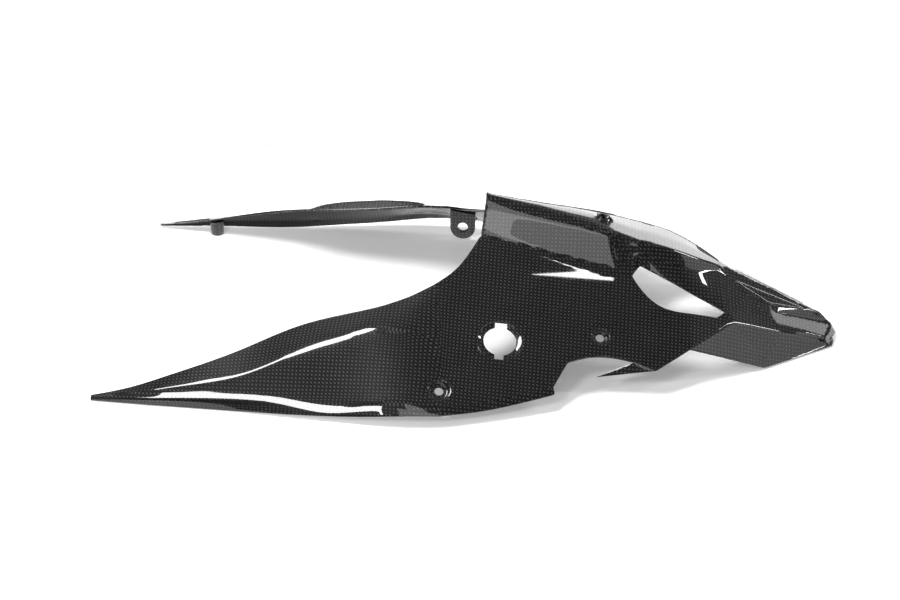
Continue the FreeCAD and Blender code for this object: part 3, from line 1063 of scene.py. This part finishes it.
@dataclass(frozen=True)
class Peg:
    """Locating peg inside an arm's tip, with a blind hole from below, in millimetres.

    Attributes:
        x: place along the part.
        distance: distance of its axis from the centre plane.
        radius: its radius.
        top: height of its top on the axis.
        bore: radius of its hole.
        deep: depth of its hole.
        lean: rise of its top along the part and towards the centre plane.
        bevels: bevels of the hole's mouth and of the foot.
        axis: radius at which its ends close.
        segments: number of its sides.
    """

    x: float = -222.0
    distance: float = 133.5
    radius: float = 5.5
    top: float = 11.0
    bore: float = 2.5
    deep: float = 9.6
    lean: Flat = (0.1, 0.14)
    bevels: Flat = (0.5, 0.6)
    axis: float = 0.01
    segments: int = 32

    def build(self, lift: float) -> Skin:
        """Builds the peg on the -Y side.

        Args:
            lift: height of the skin's zero over the ground.

        Returns:
            The closed surface.
        """
        skin = Skin()
        mouth, foot = self.bevels
        rows = [
            (self.axis, self.deep), (self.bore, self.deep), (self.bore, mouth), (self.bore + mouth, 0.0),
            (self.radius - foot, 0.0), (self.radius, foot), (self.radius, self.top), (self.axis, self.top),
        ]
        angles = np.linspace(0, 2 * math.pi, self.segments, endpoint=False)
        for (r_one, z_one), (r_two, z_two) in zip(rows, rows[1:]):
            for number, angle in enumerate(angles):
                after = angles[(number + 1) % len(angles)]
                corners = np.array([
                    [self.x + r * math.cos(t), -self.distance + r * math.sin(t), z - lift]
                    for r, z in ((r_one, z_one), (r_two, z_two)) for t in (angle, after)
                ])
                high = np.array([z_one, z_one, z_two, z_two]) == self.top
                offsets = corners[:, :2] - np.array([self.x, -self.distance])
                corners[high, 2] += offsets[high] @ np.array(self.lean)
                middle = angle + math.pi / len(angles)
                facing = np.array([
                    (z_two - z_one) * math.cos(middle), (z_two - z_one) * math.sin(middle), r_one - r_two,
                ])
                skin.quad(corners, facing)
        return skin


@dataclass(frozen=True)
class Border:
    """Raised bead round the tail's upper facet, in millimetres.

    Attributes:
        corners: points of the skin that it runs round.
        radius: radius of its section.
        sunk: depth of its axis under the skin.
        inset: share of the way that its corners are drawn in towards its middle.
        bend: share of each side that its rounded corners take up.
        turns: number of points on each rounded corner.
        segments: number of sides of its section.
    """

    corners: Side = ("roof_corner", "roof_side", "roof_rear")
    radius: float = 1.15
    sunk: float = 0.55
    inset: float = 0.09
    bend: float = 0.08
    turns: int = 7
    segments: int = 12

    def build(self, points: dict[str, np.ndarray]) -> Skin:
        """Builds the bead on the -Y side.

        Args:
            points: the skin's points by name.

        Returns:
            The closed surface.
        """
        outline = np.array([points[name] for name in self.corners])
        outline += self.inset * (outline.mean(0) - outline)
        normal = unit(np.cross(outline[1] - outline[0], outline[2] - outline[0]))
        outline -= self.sunk * ShellSkin.upward(normal)
        path: list[np.ndarray] = []
        for number, corner in enumerate(outline):
            before, after = outline[number - 1] - corner, outline[(number + 1) % len(outline)] - corner
            for share in np.linspace(0, 1, self.turns):
                path.append(corner + self.bend * ((1 - share) ** 2 * before + share ** 2 * after))
        angles = np.linspace(0, 2 * math.pi, self.segments, endpoint=False)
        rows: list[list[np.ndarray]] = []
        for number, place in enumerate(path):
            across = np.cross(unit(path[(number + 1) % len(path)] - path[number - 1]), normal)
            rows.append([place + self.radius * (math.cos(a) * normal + math.sin(a) * across) for a in angles])
        skin = Skin()
        for number, place in enumerate(path):
            row, following = rows[number], rows[(number + 1) % len(rows)]
            for turn in range(self.segments):
                after = (turn + 1) % self.segments
                corners = [row[turn], row[after], following[turn], following[after]]
                skin.quad(corners, row[turn] + row[after] - 2 * place)
        return skin


Number = Union["Value", float]


class Value:
    """Number in a shader, with the usual operators."""

    def __init__(self, graph: "Graph", socket: bpy.types.NodeSocket) -> None:
        """Wraps a socket.

        Args:
            graph: the graph that the socket is in.
            socket: the output that gives the number.
        """
        self.graph = graph
        self.socket = socket

    def _math(self, operation: str, *others: Number) -> "Value":
        """This number and others through a maths node."""
        return self.graph.math(operation, self, *others)

    def __add__(self, other: Number) -> "Value":
        """Sum."""
        return self._math("ADD", other)

    def __radd__(self, other: Number) -> "Value":
        """Sum, with this number second."""
        return self.graph.math("ADD", other, self)

    def __sub__(self, other: Number) -> "Value":
        """Difference."""
        return self._math("SUBTRACT", other)

    def __rsub__(self, other: Number) -> "Value":
        """Difference, with this number second."""
        return self.graph.math("SUBTRACT", other, self)

    def __mul__(self, other: Number) -> "Value":
        """Product."""
        return self._math("MULTIPLY", other)

    def __rmul__(self, other: Number) -> "Value":
        """Product, with this number second."""
        return self.graph.math("MULTIPLY", other, self)

    def floor(self) -> "Value":
        """Whole part."""
        return self._math("FLOOR")

    def fraction(self) -> "Value":
        """Part after the point."""
        return self._math("FRACT")

    def cosine(self) -> "Value":
        """Cosine, of radians."""
        return self._math("COSINE")

    def modulo(self, other: Number) -> "Value":
        """Remainder that is never negative.

        Args:
            other: the divisor.

        Returns:
            The remainder.
        """
        return self._math("FLOORED_MODULO", other)


class Graph:
    """Node tree of one material, or of the surroundings."""

    def __init__(self, owner: Union[bpy.types.Material, bpy.types.World]) -> None:
        """Starts with an empty tree.

        Args:
            owner: the material or world that the tree belongs to.
        """
        owner.use_nodes = True
        self.tree = owner.node_tree
        self.tree.nodes.clear()

    def node(self, kind: str, settings: Optional[dict[str, Any]] = None, **sockets: Any) -> bpy.types.Node:
        """Makes a node.

        Args:
            kind: the node's type.
            settings: properties of the node.
            **sockets: inputs by name, with underscores for spaces: values, Values or sockets.

        Returns:
            The node.
        """
        made = self.tree.nodes.new(kind)
        for name, setting in (settings or {}).items():
            setattr(made, name, setting)
        for name, given in sockets.items():
            self.feed(made.inputs[name.replace("_", " ")], given)
        return made

    def feed(self, socket: bpy.types.NodeSocket, given: Any) -> None:
        """Links or sets one input.

        Args:
            socket: the input.
            given: a Value, a socket or a plain value.
        """
        if isinstance(given, Value):
            given = given.socket
        if isinstance(given, bpy.types.NodeSocket):
            self.tree.links.new(given, socket)
        else:
            socket.default_value = given

    def math(self, operation: str, *terms: Number) -> Value:
        """Makes a maths node.

        Args:
            operation: its operation.
            *terms: its inputs in order.

        Returns:
            Its result.
        """
        made = self.node("ShaderNodeMath", {"operation": operation})
        for socket, term in zip(made.inputs, terms):
            self.feed(socket, term)
        return Value(self, made.outputs[0])

    def mix(self, factor: Number, dark: Sequence[float], light: Sequence[float]) -> bpy.types.NodeSocket:
        """Mixes two colours.

        Args:
            factor: share of the second colour.
            dark: the first colour.
            light: the second colour.

        Returns:
            The mixed colour.
        """
        made = self.node("ShaderNodeMix", {"data_type": "RGBA"})
        self.feed(made.inputs["Factor"], factor)
        made.inputs[6].default_value = (*dark, 1.0)
        made.inputs[7].default_value = (*light, 1.0)
        return made.outputs[2]


class Face(Enum):
    """Sides of the laminate."""

    OUTER = "carbon_gloss"
    INNER = "carbon_inner_shaded"


@dataclass(frozen=True)
class CarbonFinish:
    """Plain-woven carbon under clear coat.

    Attributes:
        face: side of the laminate.
        tow: width of a tow, in millimetres.
        dark: colour of the tows that run away from the light.
        light: colour of the tows that catch it.
        coat: weight of the clear coat.
        coat_roughness: roughness of the clear coat.
        roughness: roughness of the fibre.
        relief: strength of the weave's relief.
        height: height of the relief, in metres.
        taper: share of a tow's brightness that fades towards the ends of its float.
        cross_light: brightness of the cross tows against the others.
        patch_scale: scale of the cloth's uneven sheen.
        patch_range: gain and least value of that sheen.
        coat_ior: refractive index of the clear coat.
        fibre_ior: refractive index of the fibre under it.
    """

    face: Face
    tow: float = 2.0
    dark: Place = (0.003, 0.003, 0.003)
    light: Place = (0.062, 0.061, 0.060)
    coat: float = 1.0
    coat_roughness: float = 0.015
    roughness: float = 0.38
    relief: float = 0.35
    height: float = 0.0002
    taper: float = 0.6
    cross_light: float = 0.16
    patch_scale: float = 38.0
    patch_range: Flat = (0.7, 0.65)
    coat_ior: float = 1.5
    fibre_ior: float = 1.2

    def material(self) -> bpy.types.Material:
        """Makes the material.

        Returns:
            The material.
        """
        made = bpy.data.materials.new(self.face.value)
        graph = Graph(made)
        uv = graph.node("ShaderNodeUVMap", {"uv_map": "weave"}).outputs["UV"]
        split = graph.node("ShaderNodeSeparateXYZ", Vector=uv)
        scale = MAP_UNIT / (self.tow * math.sqrt(2))
        u, v = Value(graph, split.outputs["X"]) * scale, Value(graph, split.outputs["Y"]) * scale
        warp, weft = u + v, u - v
        over = (warp.floor() + weft.floor()).modulo(2.0)
        warp_crown = ((warp.fraction() - 0.5) * math.pi).cosine()
        weft_crown = ((weft.fraction() - 0.5) * math.pi).cosine()
        crown = warp_crown * weft_crown
        rest = 1.0 - self.taper
        dash = over * warp_crown * warp_crown * (weft_crown * self.taper + rest)
        cross = (1.0 - over) * weft_crown * weft_crown * (warp_crown * self.taper + rest)
        lit = dash + cross * self.cross_light
        noise = graph.node(
            "ShaderNodeTexNoise", {"noise_dimensions": "3D"},
            Vector=graph.node("ShaderNodeTexCoord").outputs["Object"], Scale=self.patch_scale, Detail=3.0,
        )
        gain, least = self.patch_range
        patchy = Value(graph, noise.outputs["Fac"]) * gain + least
        colour = graph.mix(lit * patchy, self.dark, self.light)
        bulge = crown * (over * rest + self.taper)
        bump = graph.node("ShaderNodeBump", Strength=self.relief, Distance=self.height, Height=bulge)
        shader = graph.node(
            "ShaderNodeBsdfPrincipled", Base_Color=colour, Roughness=self.roughness, Coat_Weight=self.coat,
            Coat_Roughness=self.coat_roughness, Coat_IOR=self.coat_ior, IOR=self.fibre_ior,
            Normal=bump.outputs["Normal"],
        )
        graph.node("ShaderNodeOutputMaterial", Surface=shader.outputs["BSDF"])
        return made


@dataclass(frozen=True)
class FloorFinish:
    """Pale matt floor whose own light grows outwards: the glow keeps it white, and its dimmer middle round
    the part is painted shade.

    Attributes:
        colour: its colour.
        roughness: its roughness.
        gloss: its specular level.
        glow: its own light in the middle and at the edges; the dimmer middle is painted shade round the part.
        spread: distances from the origin between which that light grows, in metres.
    """

    colour: Place = (0.9, 0.9, 0.9)
    roughness: float = 0.75
    gloss: float = 0.1
    glow: Flat = (0.25, 1.0)
    spread: Flat = (0.15, 0.62)

    def material(self) -> bpy.types.Material:
        """Makes the material.

        Returns:
            The material.
        """
        made = bpy.data.materials.new("floor_white")
        graph = Graph(made)
        place = graph.node("ShaderNodeTexCoord").outputs["Object"]
        reach = graph.node("ShaderNodeVectorMath", {"operation": "LENGTH"}, Vector=place)
        near, far = self.spread
        spread = graph.node(
            "ShaderNodeMapRange", {"interpolation_type": "SMOOTHSTEP"},
            Value=reach.outputs["Value"], From_Min=near, From_Max=far,
        )
        # The dimmer glow in the middle is painted shade round the part.
        middle, edge = ((strength,) * 3 for strength in self.glow)
        shader = graph.node(
            "ShaderNodeBsdfPrincipled", Base_Color=(*self.colour, 1.0), Roughness=self.roughness,
            Specular_IOR_Level=self.gloss, Emission_Strength=1.0,
            Emission_Color=graph.mix(Value(graph, spread.outputs["Result"]), middle, edge),
        )
        graph.node("ShaderNodeOutputMaterial", Surface=shader.outputs["BSDF"])
        return made


@dataclass(frozen=True)
class Rounding:
    """How far the skin's folds are rounded; places and lengths in millimetres.

    Attributes:
        passes: passes over the whole skin.
        edge: weight of the open edges in them.
        tail: place along the part where the tail's sharper folds begin.
        tail_fade: length over which the rounding fades before them.
        tail_share: share of the rounding that is left on them.
        arm_passes: further passes along the arms' two long folds.
        arm_width: length over which they fade away from a fold.
        arm_reach: distance from a fold at which they end, in such lengths.
        arm_start: place along the part where they begin.
        arm_fade: length over which they grow.
        root_passes: passes over the hollow at an arm's root.
        root_centre: the hollow's place along the part and distance from the centre plane.
        root_size: its half lengths.
        root_reach: where it ends, in half lengths.
        root_edge: weight of the open edges in it.
    """

    passes: int = 6
    edge: float = 0.05
    tail: float = 108.0
    tail_fade: float = 14.0
    tail_share: float = 0.12
    arm_passes: int = 16
    arm_width: float = 10.0
    arm_reach: float = 1.2
    arm_start: float = -60.0
    arm_fade: float = 40.0
    root_passes: int = 60
    root_centre: Flat = (-36.0, 112.0)
    root_size: Flat = (34.0, 26.0)
    root_reach: float = 1.4
    root_edge: float = 0.25

    def apply(self, skin: Skin, folds: np.ndarray) -> None:
        """Rounds a whole skin.

        Args:
            skin: the skin, both halves.
            folds: points along the arm's long folds on the -Y side.
        """
        places = np.array(skin.places)
        x, distance = places[:, 0], np.abs(places[:, 1])
        skin.soften(self.passes, np.clip((self.tail - x) / self.tail_fade, self.tail_share, 1.0), self.edge)
        arm = np.flatnonzero(x < self.arm_start)
        mirrored = np.stack([x[arm], -distance[arm], places[arm, 2]], axis=1)
        gaps = np.linalg.norm(mirrored[:, None, :] - folds[None, :, :], axis=2).min(axis=1)
        grown = np.clip((self.arm_start - x[arm]) / self.arm_fade, 0, 1)
        fillet = np.zeros(len(places))
        fillet[arm] = np.clip(self.arm_reach - gaps / self.arm_width, 0, 1) * grown
        skin.soften(self.arm_passes, fillet, 0.0)
        (middle, side), (half_length, half_width) = self.root_centre, self.root_size
        away = np.hypot((x - middle) / half_length, (distance - side) / half_width)
        hollow = np.clip(self.root_reach - away, 0, 1)
        skin.pinned |= set(np.flatnonzero(hollow == 0).tolist())
        skin.soften(self.root_passes, hollow, self.root_edge)


@dataclass
class Undertray:
    """The whole moulded shell.

    Attributes:
        wall: thickness of the laminate, in millimetres.
        rim: radius of the cut edges, in millimetres.
        rim_angle: least angle of an edge that is taken as cut, in degrees.
        crease: least angle of an edge that is shaded sharp, in degrees.
        rounding: how far the folds are rounded.
        outer: finish of the outer face.
        inner: finish of the inner face: rougher, with darker weave colours that are painted shade.
    """

    wall: float = 1.8
    rim: float = 0.55
    rim_angle: float = 52.0
    crease: float = 50.0
    rounding: Rounding = Rounding()
    outer: CarbonFinish = CarbonFinish(Face.OUTER)
    # The inner face's darker weave colours are painted shade; its rougher coat and fibre are its own.
    inner: CarbonFinish = CarbonFinish(
        Face.INNER, dark=(0.0015, 0.0015, 0.0015), light=(0.026, 0.026, 0.026),
        coat=0.6, coat_roughness=0.16, roughness=0.5,
    )

    def walls(self, surface: bpy.types.Mesh) -> bpy.types.Mesh:
        """Gives the skin its thickness, its rounded rims and its finishes.

        Args:
            surface: the outer skin.

        Returns:
            The laminate's mesh.
        """
        shell = bpy.data.objects.new("shell_skin", surface)
        bpy.context.scene.collection.objects.link(shell)
        solid = shell.modifiers.new("wall", "SOLIDIFY")
        solid.thickness = self.wall * MM
        solid.offset = -1.0
        solid.use_even_offset = True
        solid.use_quality_normals = True
        solid.thickness_clamp = 1.0
        solid.material_offset = 1
        bevel = shell.modifiers.new("rim", "BEVEL")
        bevel.width = self.rim * MM
        bevel.segments = 2
        bevel.limit_method = "ANGLE"
        bevel.angle_limit = math.radians(self.rim_angle)
        bevel.use_clamp_overlap = True
        for finish in (self.outer, self.inner):
            surface.materials.append(finish.material())
        bpy.context.view_layer.update()
        graph = bpy.context.evaluated_depsgraph_get()
        made = bpy.data.meshes.new_from_object(shell.evaluated_get(graph))
        bpy.data.objects.remove(shell)
        return made

    def build(self) -> bpy.types.Object:
        """Builds the shell's mesh and links it.

        Returns:
            The shell's object.
        """
        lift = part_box(NODE)[1].z / MM - FREE_POINTS["peak"][2]
        parts = ShellSkin()
        skin = parts.build(with_lock=True)
        skin.absorb_mirrored(parts.build(with_lock=False))
        folds = np.concatenate([parts.side(ARM[guide])[1] for guide in ("fold", "roll")])
        self.rounding.apply(skin, folds)
        walls = self.walls(skin.mesh("shell_skin", lift))
        pieces = [walls]
        for piece in (Tab().build(parts.plane), Peg().build(lift), Border().build(parts.points)):
            twin = Skin()
            twin.absorb_mirrored(piece)
            pieces += [piece.mesh("fitting", lift), twin.mesh("fitting", lift)]
        joined = bmesh.new()
        for piece in pieces:
            joined.from_mesh(piece)
        mesh = bpy.data.meshes.new("undertray")
        joined.to_mesh(mesh)
        joined.free()
        for material in walls.materials:
            mesh.materials.append(material)
        mesh.shade_smooth()
        mesh.set_sharp_from_angle(angle=math.radians(self.crease))
        made = bpy.data.objects.new("undertray", mesh)
        bpy.context.scene.collection.objects.link(made)
        return made

    def dress(self, made: bpy.types.Object) -> None:
        """Puts the shell in the frame.

        Args:
            made: the shell's object.
        """
        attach(made, "root")
        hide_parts(NODE)


@dataclass(frozen=True)
class Softbox:
    """Rectangular studio light; places and sizes in metres.

    Attributes:
        name: its name.
        place: its centre.
        target: the point that it faces.
        size: its width and height.
        power: its power in watts.
    """

    name: str
    place: Place
    target: Place
    size: Flat
    power: float

    def build(self) -> bpy.types.Object:
        """Makes the light.

        Returns:
            The light's object.
        """
        data = bpy.data.lights.new(self.name, "AREA")
        data.shape = "RECTANGLE"
        data.size, data.size_y = self.size
        data.energy = self.power
        made = bpy.data.objects.new(self.name, data)
        made.location = self.place
        aim = Vector(self.target) - Vector(self.place)
        made.rotation_mode = "QUATERNION"
        made.rotation_quaternion = aim.to_track_quat("-Z", "Y")
        bpy.context.scene.collection.objects.link(made)
        return made


@dataclass(frozen=True)
class GlowPane:
    """Flat overhead light of any outline, which shows in the clear coat as a stripe of that outline.

    Attributes:
        name: its name.
        corners: its outline seen from above, in metres.
        height: its height over the floor, in metres.
        glow: its strength.
    """

    name: str
    corners: tuple[Flat, ...]
    height: float
    glow: float = 24.0

    def build(self) -> bpy.types.Object:
        """Makes the light.

        Returns:
            The light's mesh object.
        """
        mesh = bpy.data.meshes.new(self.name)
        places = [(x, y, self.height) for x, y in self.corners]
        mesh.from_pydata(places, [], [tuple(range(len(places)))])
        finish = bpy.data.materials.new(self.name)
        graph = Graph(finish)
        glow = graph.node("ShaderNodeEmission", Strength=self.glow)
        graph.node("ShaderNodeOutputMaterial", Surface=glow.outputs["Emission"])
        mesh.materials.append(finish)
        made = bpy.data.objects.new(self.name, mesh)
        bpy.context.scene.collection.objects.link(made)
        return made


@dataclass
class Studio:
    """Pale floor, lights and camera, in metres.

    Attributes:
        lens: focal length in millimetres.
        eye: the camera's place.
        forward: the camera's direction.
        sensor: width of the camera's sensor in millimetres.
        clip: nearest and farthest distance that the camera sees.
        floor_corners: two opposite corners of the floor.
        floor_finish: the floor's finish.
        room_light: light of the surroundings on the part; the camera sees them white.
        boxes: the rectangular lights.
        panes: the outlined lights.
    """

    lens: float = 104.0
    eye: Place = (0.1192, -1.7360, 0.9439)
    forward: Place = (-0.0714, 0.8801, -0.4695)
    sensor: float = 36.0
    clip: Flat = (0.05, 200.0)
    floor_corners: tuple[Flat, Flat] = ((-1.3, -1.1), (1.3, 0.3))
    floor_finish: FloorFinish = FloorFinish()
    room_light: float = 0.015
    boxes: tuple[Softbox, ...] = (
        Softbox("back_box", (0.3, 2.2, 0.95), (0.1, 0.0, 0.3), (3.6, 1.0), 50.0),
        Softbox("lip_box", (-0.80, -1.80, 1.56), (-0.16, -0.15, 0.0), (0.46, 0.5), 17.0),
        Softbox("front_panel", (-0.03, -2.4, 1.72), (0.05, 0.0, 0.08), (0.6, 1.3), 5.6),
        Softbox("band_box", (0.05, -0.86, 1.1), (0.05, -0.86, 0.0), (0.18, 0.58), 0.8),
        Softbox("right_panel", (1.94, -0.28, 0.96), (0.2, -0.04, 0.02), (1.0, 1.05), 4.3),
        Softbox("tail_panel", (1.29, 1.25, 1.03), (0.23, -0.02, 0.03), (0.6, 0.5), 2.4),
        Softbox("tail_box", (1.45, 0.20, 1.35), (0.23, -0.02, 0.03), (0.12, 0.5), 6.0),
    )
    panes: tuple[GlowPane, ...] = (
        GlowPane("overhead_wedge", ((0.2392, 0.0325), (0.3344, 0.0436), (0.3378, 0.0574)), 1.05),
        GlowPane(
            "overhead_arm",
            (
                (-0.68, -0.42), (-0.68, -0.17), (-0.57, -0.09), (-0.45, 0.1), (-0.26, 0.3),
                (-0.16, 0.15), (-0.22, -0.12), (-0.36, -0.28), (-0.55, -0.34),
            ),
            1.1,
        ),
    )

    def floor(self) -> bpy.types.Object:
        """Makes the floor.

        Returns:
            The floor's object.
        """
        mesh = bpy.data.meshes.new("floor")
        (left, front), (right, back) = self.floor_corners
        corners = [(left, front, 0), (right, front, 0), (right, back, 0), (left, back, 0)]
        mesh.from_pydata(corners, [], [(0, 1, 2, 3)])
        made = bpy.data.objects.new("floor", mesh)
        bpy.context.scene.collection.objects.link(made)
        mesh.materials.append(self.floor_finish.material())
        return made

    def room(self) -> None:
        """Makes the surroundings: white to the camera and dim to the part."""
        world = bpy.data.worlds.new("room")
        graph = Graph(world)
        seen = graph.node("ShaderNodeLightPath").outputs["Is Camera Ray"]
        shade = graph.node("ShaderNodeMapRange", Value=seen, To_Min=self.room_light)
        white = (1.0, 1.0, 1.0, 1.0)
        glow = graph.node("ShaderNodeBackground", Color=white, Strength=shade.outputs["Result"])
        graph.node("ShaderNodeOutputWorld", Surface=glow.outputs["Background"])
        bpy.context.scene.world = world

    def camera(self) -> None:
        """Makes the camera and looks through it."""
        data = bpy.data.cameras.new("camera")
        data.lens = self.lens
        data.sensor_width = self.sensor
        data.clip_start, data.clip_end = self.clip
        made = bpy.data.objects.new("camera", data)
        made.location = self.eye
        made.rotation_mode = "QUATERNION"
        made.rotation_quaternion = Vector(self.forward).to_track_quat("-Z", "Y")
        bpy.context.scene.collection.objects.link(made)
        bpy.context.scene.camera = made
        bpy.context.scene.view_settings.view_transform = "Standard"

    def build(self) -> None:
        """Builds the floor, the lights, the surroundings and the camera."""
        self.floor()
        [pane.build() for pane in self.panes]
        for box in self.boxes:
            box.build()
        self.room()
        self.camera()


def main() -> None:
    """Builds the shell and the studio."""
    logging.basicConfig(level=logging.INFO)
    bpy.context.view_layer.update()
    tray = Undertray()
    made = tray.build()
    tray.dress(made)
    LOG.info("%s: %d faces", made.name, len(made.data.polygons))
    studio = Studio()
    studio.build()
    LOG.info("studio: %d lights", len(studio.boxes) + len(studio.panes))


if __name__ == "__main__":
    main()
